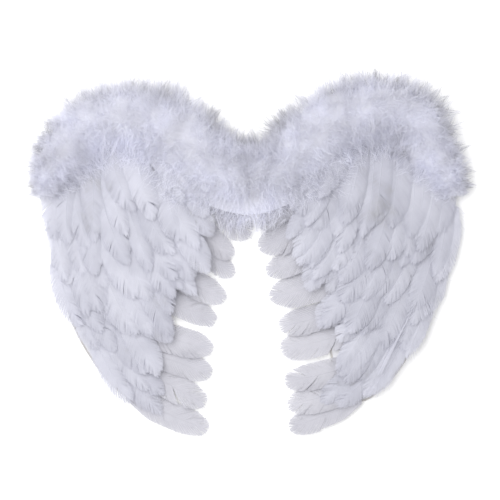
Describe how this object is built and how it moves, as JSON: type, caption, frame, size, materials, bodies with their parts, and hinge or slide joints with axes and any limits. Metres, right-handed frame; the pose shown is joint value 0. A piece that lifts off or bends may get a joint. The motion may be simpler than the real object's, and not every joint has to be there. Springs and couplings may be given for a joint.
{
  "type": "costume wings",
  "caption": "White feathered costume wings with shingled feather rows, a fluffy down trim along the top, a stiff backing panel and elastic shoulder straps.",
  "frame": {"origin": "on the ground, under the middle of the whole outline, with the wings lying face up", "axes": "+X across the wings towards the right wing of the picture, +Y towards the top trim, +Z out of the feathered face"},
  "size_m": [0.5544, 0.4478, 0.0458],
  "materials": {
    "felt": "white stiffened non-woven felt",
    "elastic": "white woven elastic",
    "feather": "soft white dyed feather vane",
    "down": "soft white down, no sheen"
  },
  "bodies": {
    "root": {"backing_panel": "felt", "strap_left": "elastic", "flight_feather_left_1": "feather", "flight_feather_left_2": "feather", "flight_feather_left_3": "feather", "flight_feather_left_4": "feather", "flight_feather_left_5": "feather", "flight_feather_left_6": "feather", "flight_feather_left_7": "feather", "flight_feather_left_8": "feather", "flight_feather_left_9": "feather", "covert_row_left_1": "feather", "covert_row_left_2": "feather", "covert_row_left_3": "feather", "covert_row_left_4": "feather", "covert_row_left_5": "feather", "covert_row_left_6": "feather", "down_trim_left": "down", "strap_right": "elastic", "flight_feather_right_1": "feather", "flight_feather_right_2": "feather", "flight_feather_right_3": "feather", "flight_feather_right_4": "feather", "flight_feather_right_5": "feather", "flight_feather_right_6": "feather", "flight_feather_right_7": "feather", "flight_feather_right_8": "feather", "flight_feather_right_9": "feather", "covert_row_right_1": "feather", "covert_row_right_2": "feather", "covert_row_right_3": "feather", "covert_row_right_4": "feather", "covert_row_right_5": "feather", "covert_row_right_6": "feather", "down_trim_right": "down"}
  },
  "joints": []
}
